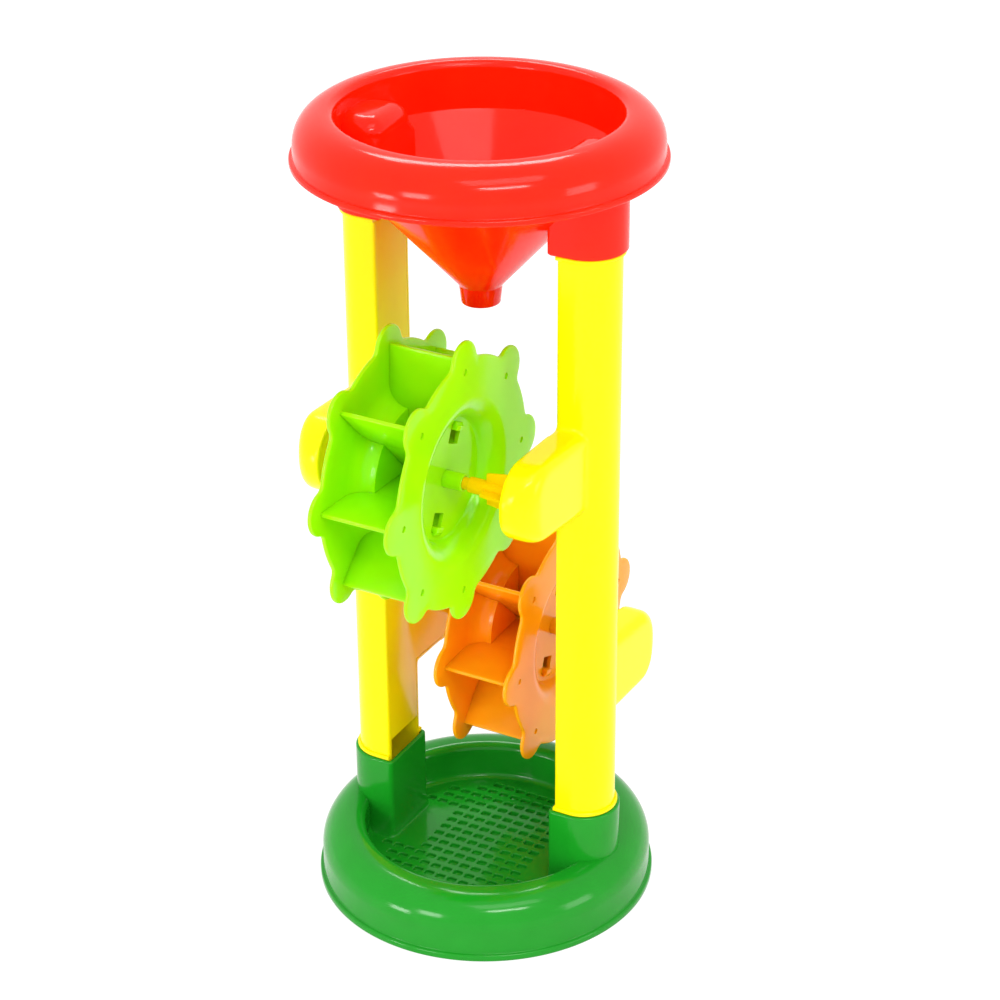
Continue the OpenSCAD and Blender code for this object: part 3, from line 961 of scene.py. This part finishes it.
@dataclass
class Column:
    """One yellow column: a D-shaped shell with two bosses, and the cover that carries the pins."""

    side: Side
    low: float = 10.0
    high: float = 344.5
    wall: float = 2.0
    skin_corner: float = 0.6
    hollow_corner: float = 0.3
    cover_t: float = 2.0
    cover_low: float = 58.5
    cover_edge: float = 0.3
    gap: float = 0.1
    bead: float = 1.2
    bead_h: float = 2.0
    bead_soft: float = 0.5
    bead_steps: int = 36
    bead_zs: Vec2 = (49.0, 307.0)
    voxel: float = 0.85
    rounds: int = 9
    pin_r: float = 2.5
    pin_tip: float = 8.5
    pin_soft: float = 0.8
    pin_foot: float = 0.2
    root_r: float = 3.3
    root_soft: float = 0.4
    root_x: float = 20.5
    pin_segments: int = 64
    pin_chord: float = 0.3
    fin_t: float = 1.6
    fin_edge: float = 0.35
    fin_front_x: float = 28.2
    fin_front: float = 6.8
    fin_back: float = 9.0
    bosses: tuple[Boss, Boss] = (Boss("upper", -1, UPPER_AXLE), Boss("lower", 1, LOWER_AXLE))

    @property
    def label(self) -> str:
        """The side's name, as the node names have it."""
        return self.side.name.lower()

    def behind(self, *depths: float) -> list[float]:
        """Places behind the flat face, in the order of X."""
        return sorted(self.side.value * (SECTION.face_x + depth) for depth in depths)

    def shell(self) -> Obj:
        """The D-shaped shell with its bosses, hollow from the flat side."""
        rows = [(z, 0, self.skin_corner) for z in (self.low, self.high)]
        body = SECTION.stack(f"{self.label}_column_skin", self.side, rows)
        for boss in self.bosses:
            joined(body, boss.solid(self.side, 0, 0), Join.ADD)
        softened(body, self.voxel, self.rounds)
        low, high, half = self.low - OVERRUN, self.high + OVERRUN, SECTION.half_w - self.wall
        rows = [(z, -self.wall, self.hollow_corner) for z in (low, high)]
        joined(body, SECTION.stack("hollow", self.side, rows), Join.CUT)
        first, last = self.behind(-OVERRUN, self.cover_t + OVERRUN)
        joined(body, block("slot", (first, -half, low), (last, half, high)), Join.CUT)
        for boss in self.bosses:
            joined(body, boss.solid(self.side, self.wall, OVERRUN), Join.CUT)
        return body

    def beads(self) -> Obj:
        """The two raised beads that stop the column at its sockets, as one mesh."""
        first, second = (self.bead_loop(z) for z in self.bead_zs)
        return joined(first, second, Join.ADD)

    def bead_loop(self, low: float) -> Obj:
        """One bead, which runs round the column from one edge of the flat face to the other."""
        soft, high = self.bead_soft, low + self.bead_h
        rows = [
            (-self.wall / 2, low),
            (self.bead - soft, low),
            (self.bead, low + soft),
            (self.bead, high - soft),
            (self.bead - soft, high),
            (-self.wall / 2, high),
        ]
        half, face = SECTION.half_w, SECTION.face_x
        outs = directions(-90, 90, self.bead_steps)
        path = [(face + SECTION.straight + half * out, out) for out in outs]
        path = [(complex(face, -half), -1j), *path, (complex(face, half), 1j)]
        loops = []
        for start, out in path:
            spots = [(start + grow * out, z) for grow, z in rows]
            loops.append([(self.side.value * at.real, at.imag, z) for at, z in spots])
        return lofted(f"{self.label}_column_beads", loops)

    def cover(self) -> Obj:
        """The flat cover let into the shell."""
        half = SECTION.half_w - self.wall - self.gap
        first, last = self.behind(0, self.cover_t)
        low, high = (first, -half, self.cover_low), (last, half, self.high)
        plate = block(f"{self.label}_column_cover_plate", low, high)
        for boss in self.bosses:
            lid = prism("lid", boss.ring(self.wall + self.gap), first, last, "YZ")
            joined(plate, lid, Join.ADD)
        return bevelled(plate, self.cover_edge)

    def pin(self, boss: Boss) -> Obj:
        """One stub pin with its thick root and its cross of fins."""
        back = SECTION.face_x + self.cover_t / 2
        corners = [
            (0, self.pin_tip, 0),
            (self.pin_r, self.pin_tip, self.pin_soft),
            (self.pin_r, self.root_x, self.pin_foot),
            (self.root_r, self.root_x, self.root_soft),
            (self.root_r, back, 0),
            (0, back, 0),
        ]
        name = f"{self.label}_{boss.name}_pin"
        pin = spun(name, corners, Axis.ACROSS, self.pin_segments, self.pin_chord)
        shape = [
            (back, -self.fin_back),
            (back, self.fin_back),
            (self.fin_front_x, self.fin_front),
            (self.fin_front_x, -self.fin_front),
        ]
        for plane in ("XZ", "XY"):
            fin = prism("fin", shape, -self.fin_t / 2, self.fin_t / 2, plane)
            joined(pin, bevelled(fin, self.fin_edge), Join.ADD)
        place = Matrix.Translation((0, boss.axle[0] * MM, boss.axle[1] * MM))
        pin.data.transform(place @ Matrix.Diagonal((self.side.value, 1, 1, 1)))
        smooth(pin)
        return pin

    def build(self) -> None:
        """Builds and dresses the whole column."""
        dress(self.shell(), COLUMN_YELLOW, Body.FRAME, [f"{self.label}_column_shell"])
        dress(self.beads(), COLUMN_YELLOW, Body.FRAME)
        dress(self.cover(), COVER_YELLOW_PAINTED_SHADE, Body.FRAME, [f"{self.label}_column_cover"])
        for boss in self.bosses:
            dress(self.pin(boss), PIN_PAINTED_SHADE, Body.FRAME)


@dataclass
class Wheel:
    """A bucket wheel: a rotor with its vanes, and the side plate snapped on it."""

    label: str
    body: Body
    finish: MouldedPolypropylene
    axle: Vec2
    turn: float
    half_w: float = 18.0
    radius: float = 61.0
    lobe_r: float = 9.5
    valley_r: float = 52.5
    blend: float = 4.0
    rim_steps: tuple[int, int, int] = (12, 5, 4)
    disc_t: float = 1.8
    recess_r: float = 36.0
    recess_depth: float = 8.6
    recess_steps: int = 14
    inner_steps: int = 12
    foot_lift: float = 0.8
    foot_run: Vec2 = (1.6, 0.55)
    foot_rise: float = 0.18
    disc_shares: Vec2 = (0.35, 0.7)
    hub_r: float = 3.7
    hub_soft: float = 0.4
    bore_r: float = 2.6
    bore_soft: float = 0.3
    hub_grip: float = 0.5
    hub_segments: int = 64
    hub_chord: float = 0.2
    vanes: int = 8
    vane_t: float = 1.8
    vane_r: float = 53.5
    vane_in: float = 1.5
    vane_edge: float = 0.5
    vane_edge_steps: int = 3
    edge: float = 0.7
    edge_steps: int = 3
    slot_at: float = 18.2
    slot: float = 8.0
    slot_edge: float = 0.5
    clip_w: float = 5.6
    clip_t: float = 2.2
    clip_edge: float = 0.25
    nose: float = 1.2
    nose_h: float = 2.0
    gap: float = 0.1
    peg_at: float = 48.0
    peg_r: float = 1.3
    peg_soft: float = 0.4
    peg_sink: float = 0.6
    peg_segments: int = 32
    peg_chord: float = 0.3

    @property
    def web_x(self) -> float:
        """Inner face of the web at the bottom of the recess."""
        return self.half_w - self.recess_depth - self.disc_t

    @property
    def clip_turns(self) -> Vec2:
        """Angles of the two clips, each halfway between two vanes."""
        first = 360 / self.vanes * 1.5
        return first, first + 180

    def rim(self) -> list[Spot]:
        """Outline of a disc: lobes joined to the valleys by hollow blends.

        Returns:
            Each point with the direction that points out of the disc there.
        """
        lobe_at = self.radius - self.lobe_r
        blend_at = self.valley_r + self.blend
        reach = self.lobe_r + self.blend
        cosine = (lobe_at**2 + blend_at**2 - reach**2) / (2 * lobe_at * blend_at)
        turn = math.acos(cosine)
        middle = cmath.rect(blend_at, turn)
        ends = [0, cmath.phase(middle - lobe_at), turn, math.pi / self.vanes]
        half: list[Spot] = []
        for k, (centre, radius) in enumerate(
            ((lobe_at, self.lobe_r), (middle, -self.blend), (0, self.valley_r))
        ):
            first, last = math.degrees(ends[k]), math.degrees(ends[k + 1])
            outs = directions(first, last, self.rim_steps[k])
            half[-1:] = [(centre + radius * out, out) for out in outs]
        mirrored = [(at.conjugate(), out.conjugate()) for at, out in half[-2:0:-1]]
        points = []
        for n in range(self.vanes):
            for part, turns in ((half, n), (mirrored, n + 1)):
                spin = cmath.rect(1, turns * TURN / self.vanes)
                points += [(at * spin, out * spin) for at, out in part]
        return points

    def disc(self, name: str, sign: int, hole: float) -> Obj:
        """One disc with its recess, about the X axis.

        Args:
            name: the object's name.
            sign: 1 for the disc on +X and -1 for the one on -X.
            hole: radius of the hole in the middle.

        Returns:
            The object.
        """
        rim = self.rim()
        spokes = self.spokes(rim)
        outer, inner, e = self.half_w, self.half_w - self.disc_t, self.edge
        roll = self.recess_depth + self.disc_t
        web, face = self.web_x, self.web_x + self.disc_t

        def circle(radius: float, x: float) -> Loop:
            return [(sign * x, radius * out.real, radius * out.imag) for out in spokes]

        def toward_rim(share: float, inset: float, x: float) -> Loop:
            loop = []
            for spoke, (end, out) in zip(spokes, rim):
                start = self.recess_r * spoke
                at = start + (end - inset * out - start) * share
                loop.append((sign * x, at.real, at.imag))
            return loop

        low = math.degrees(math.asin((self.disc_t + self.foot_lift) / roll))
        foot = self.recess_r - roll * math.cos(math.radians(low))
        loops = [circle(hole, face), circle(foot - self.foot_run[0], face)]
        loops.append(circle(foot - self.foot_run[1], face + self.foot_rise))
        recess = arc((self.recess_r, web), roll, 180 - low, 90, self.recess_steps)
        loops += [circle(r, x) for r, x in recess]
        loops += [toward_rim(share, e, outer) for share in (*self.disc_shares, 1.0)]
        turns = quarter(self.edge_steps)
        loops += [toward_rim(1.0, e * (1 - v), outer - e * u) for u, v in turns[1:]]
        loops += [toward_rim(1.0, e * (1 - v), inner + e * u) for u, v in turns[::-1]]
        loops += [toward_rim(share, e, inner) for share in self.disc_shares[::-1]]
        hollow = arc((self.recess_r, web), self.recess_depth, 90, 180, self.inner_steps)
        loops += [circle(r, x) for r, x in hollow]
        loops.append(circle(hole, web))
        return lofted(name, loops, ring=True)

    def spokes(self, rim: Sequence[Spot]) -> list[complex]:
        """Directions that share each sector of the disc out by the length of its rim."""
        count = len(rim) // self.vanes
        lengths = [0.0]
        for (here, _), (there, _) in zip(rim, rim[1 : count + 1]):
            lengths.append(lengths[-1] + abs(there - here))
        sectors = [i // count + lengths[i % count] / lengths[count] for i in range(len(rim))]
        return [cmath.rect(1, TURN / self.vanes * sector) for sector in sectors]

    def side_plate(self) -> Obj:
        """The loose disc, with its two slots and its peg holes."""
        plate = self.disc(f"{self.label}_side_disc", 1, self.hub_r + self.gap)
        web, half = self.web_x, self.slot / 2
        low = (web - OVERRUN, self.slot_at - half, -half)
        high = (web + self.disc_t + OVERRUN, self.slot_at + half, half)
        for turn in self.clip_turns:
            cut = bevelled(block("slot", low, high), self.slot_edge)
            cut.data.transform(about_x(turn))
            joined(plate, cut, Join.CUT)
        first, last = self.half_w - self.disc_t - OVERRUN, self.half_w + OVERRUN
        hole = self.peg("hole", self.peg_r + self.gap, first, last)
        return joined(plate, self.round_copies(hole), Join.CUT)

    def peg(self, name: str, radius: float, low: float, high: float) -> Obj:
        """A round peg on the circle of pegs, from one X to another."""
        corners = [(0, low, 0), (radius, low, 0), (radius, high, self.peg_soft), (0, high, 0)]
        peg = spun(name, corners, Axis.ACROSS, self.peg_segments, self.peg_chord)
        peg.data.transform(Matrix.Translation((0, self.peg_at * MM, 0)))
        return peg

    def round_copies(self, obj: Obj) -> Obj:
        """Repeats a piece once for each vane."""
        values = {"Count": self.vanes, "Material": self.finish.material()}
        return RoundCopies().run(obj, values)

    def vane_set(self) -> Obj:
        """The vanes between the two discs, with their softly rounded free edges."""
        skin = self.disc_t / 2
        wide, half = self.half_w - skin, self.vane_t / 2
        roll, centre = self.recess_depth + skin, (self.recess_r, self.web_x)
        side = [
            (self.web_x + skin, self.hub_r - self.hub_grip),
            *((x, r) for r, x in arc(centre, roll, 180, 90, self.recess_steps)),
            (wide, self.vane_r - self.vane_in),
        ]
        outline = [*side, (wide, self.vane_r), (-wide, self.vane_r)]
        outline += [(-x, r) for x, r in reversed(side)]
        vane = prism(f"{self.label}_vanes", outline, -half, half)
        return self.round_copies(bevelled(vane, self.vane_edge, self.vane_edge_steps))

    def hub(self) -> Obj:
        """The hub tube that the stub pins run in."""
        corners = [
            (self.hub_r, -self.half_w, self.hub_soft),
            (self.hub_r, self.half_w, self.hub_soft),
            (self.bore_r, self.half_w, self.bore_soft),
            (self.bore_r, -self.half_w, self.bore_soft),
        ]
        name = f"{self.label}_hub"
        return spun(name, corners, Axis.ACROSS, self.hub_segments, self.hub_chord)

    def clips(self) -> Obj:
        """The two snap clips of the rotor, with their noses over the side plate."""
        edge, half = self.slot_at + self.slot / 2 - self.gap, self.clip_w / 2
        face = self.web_x + self.disc_t + self.gap
        inner, top, tip = edge - self.clip_t, face + self.nose_h, edge + self.gap + self.nose
        low, high = (-self.web_x - self.disc_t / 2, inner, -half), (top, edge, half)
        shape = [
            (face, inner),
            (face, tip),
            (face + self.nose_h / 2, tip),
            (top, edge - self.clip_t / 2),
            (top, inner),
        ]
        both = []
        for turn in self.clip_turns:
            clip = block("clip", low, high)
            joined(clip, prism("nose", shape, -half, half), Join.ADD)
            bevelled(clip, self.clip_edge)
            clip.data.transform(about_x(turn))
            both.append(clip)
        both[0].name = f"{self.label}_clips"
        return joined(*both, Join.ADD)

    def pegs(self) -> Obj:
        """The locating pegs, which end just below the face of the side plate."""
        low, high = self.half_w - 2 * self.disc_t, self.half_w - self.peg_sink
        return self.round_copies(self.peg(f"{self.label}_pegs", self.peg_r, low, high))

    def build(self) -> None:
        """Builds the wheel about the X axis, puts it on its axle and dresses it."""
        node = self.body.value
        rotor = self.disc(f"{self.label}_rotor_disc", -1, self.bore_r + self.hub_grip)
        made = [
            (rotor, [f"{node}_rotor"]),
            (self.side_plate(), [f"{node}_side_plate"]),
            (self.vane_set(), []),
            (self.hub(), []),
            (self.clips(), []),
            (self.pegs(), []),
        ]
        y, z = self.axle
        place = Matrix.Translation((0, y * MM, z * MM)) @ about_x(self.turn)
        for obj, nodes in made:
            obj.data.transform(place)
            dress(obj, self.finish, self.body, nodes)


# Stage


def away(azimuth: float, elevation: float) -> Vector:
    """The direction from the toy to an azimuth right of its front and a height, in degrees."""
    a, e = math.radians(azimuth), math.radians(elevation)
    return Vector((math.sin(a) * math.cos(e), -math.cos(a) * math.cos(e), math.sin(e)))


def shown_to_eye(tree: Tree, light: Node, shown: Node) -> Socket:
    """Mixes two shaders by who looks.

    Args:
        tree: the node tree.
        light: the shader that lights the toy.
        shown: the shader that the eye, a reflection or a clear body sees.

    Returns:
        The mixed shader.
    """
    path = add(tree, "ShaderNodeLightPath").outputs
    seen = maths(tree, "MAXIMUM", path["Is Camera Ray"], path["Is Glossy Ray"])
    seen = maths(tree, "MAXIMUM", seen, path["Is Transmission Ray"])
    inputs = {0: seen, 1: light.outputs[0], 2: shown.outputs[0]}
    return add(tree, "ShaderNodeMixShader", inputs).outputs[0]


@dataclass(frozen=True)
class Softbox:
    """A rectangular area lamp that looks at the middle of the toy, with lengths in metres."""

    name: str
    azimuth: float
    elevation: float
    distance: float
    width: float
    height: float
    watts: float

    def build(self, target: Vector) -> None:
        """Puts the lamp in the scene."""
        data = bpy.data.lights.new(self.name, "AREA")
        data.shape = "RECTANGLE"
        data.size, data.size_y = self.width, self.height
        data.energy = self.watts
        lamp = bpy.data.objects.new(self.name, data)
        bpy.context.scene.collection.objects.link(lamp)
        back = away(self.azimuth, self.elevation)
        lamp.location = target + back * self.distance
        lamp.rotation_mode = "QUATERNION"
        lamp.rotation_quaternion = back.to_track_quat("Z", "Y")


@dataclass
class Studio:
    """A white floor and backdrop with soft lamps, and the camera of the photograph."""

    azimuth: float = 28.735
    elevation: float = 27.696
    roll: float = -0.3555
    position: Vec3 = (485.31, -870.14, 707.56)
    lens: float = 95.966
    sensor: float = 36.0
    clip_m: Vec2 = (0.05, 50)
    surround: float = 0.77
    floor_half: float = 6000.0
    floor_glow: float = 0.72
    floor_grey: float = 0.86
    shown_grey: float = 0.36
    softboxes: tuple[Softbox, ...] = (
        Softbox("window", 45, 45, 1.5, 0.6, 0.12, 6.0),
        Softbox("left_front", -8, 13, 1.6, 0.4, 0.36, 5.6),
        Softbox("left_low", -27, -2, 1.4, 0.3, 0.26, 3.6),
        Softbox("right", 90, 8, 1.5, 0.5, 0.5, 3.4),
        Softbox("above", 50, 64, 1.5, 0.9, 0.4, 3.4),
        Softbox("behind", -147, 54, 1.5, 0.7, 0.34, 9.0),
    )

    def camera(self) -> None:
        """Stands the camera where the photograph was taken from."""
        a, r = math.radians(self.azimuth), math.radians(self.roll)
        back = away(self.azimuth, self.elevation)
        right = Vector((math.cos(a), math.sin(a), 0))
        up = back.cross(right)
        right, up = (
            right * math.cos(r) + up * math.sin(r),
            up * math.cos(r) - right * math.sin(r),
        )
        data = bpy.data.cameras.new("camera")
        data.sensor_width = self.sensor
        data.lens = self.lens
        data.clip_start, data.clip_end = self.clip_m
        camera = bpy.data.objects.new("camera", data)
        bpy.context.scene.collection.objects.link(camera)
        turn = Matrix((right, up, back)).transposed().to_4x4()
        camera.matrix_world = Matrix.Translation(Vector(self.position) * MM) @ turn
        bpy.context.scene.camera = camera

    def world(self) -> None:
        """Lights the toy evenly, and is plain white to the eye and in reflections."""
        world = bpy.data.worlds.new("white_surround")
        tree = blank(world)
        light, shown = (
            add(tree, "ShaderNodeBackground", {"Color": WHITE, "Strength": strength})
            for strength in (self.surround, 1.0)
        )
        add(tree, "ShaderNodeOutputWorld", {"Surface": shown_to_eye(tree, light, shown)})
        bpy.context.scene.world = world

    def floor(self) -> None:
        """A wide white floor that keeps the toy's soft shadow."""
        half = self.floor_half
        points = [(-half, -half, 0), (half, -half, 0), (half, half, 0), (-half, half, 0)]
        floor = piece("studio_floor", points, [(0, 1, 2, 3)])
        paper = bpy.data.materials.new("matt_white_paper")
        tree = blank(paper)
        matt, dim = (
            add(tree, "ShaderNodeBsdfDiffuse", {"Color": (grey, grey, grey, 1)})
            for grey in (self.floor_grey, self.shown_grey)
        )
        glow = add(tree, "ShaderNodeEmission", {"Color": WHITE, "Strength": self.floor_glow})
        shown = add(tree, "ShaderNodeAddShader", {0: dim.outputs[0], 1: glow.outputs[0]})
        add(tree, "ShaderNodeOutputMaterial", {"Surface": shown_to_eye(tree, matt, shown)})
        floor.data.materials.append(paper)

    def build(self) -> None:
        """Sets up camera, floor, surround and lamps."""
        self.camera()
        self.world()
        self.floor()
        middle = (CAD_BOX[0] + CAD_BOX[1]) / 2
        for softbox in self.softboxes:
            softbox.build(middle)
        bpy.context.scene.view_settings.view_transform = "Standard"


def main() -> None:
    """Builds the toy piece by piece, then the stage."""
    logging.basicConfig(level=logging.INFO, format="%(message)s")
    BaseTray().build()
    Hopper().build()
    for side in Side:
        Column(side).build()
    Wheel("lime", Body.UPPER_WHEEL, WHEEL_LIME, UPPER_AXLE, turn=-2.0).build()
    Wheel("orange", Body.LOWER_WHEEL, WHEEL_ORANGE, LOWER_AXLE, turn=1.3).build()
    Studio().build()


if __name__ == "__main__":
    main()
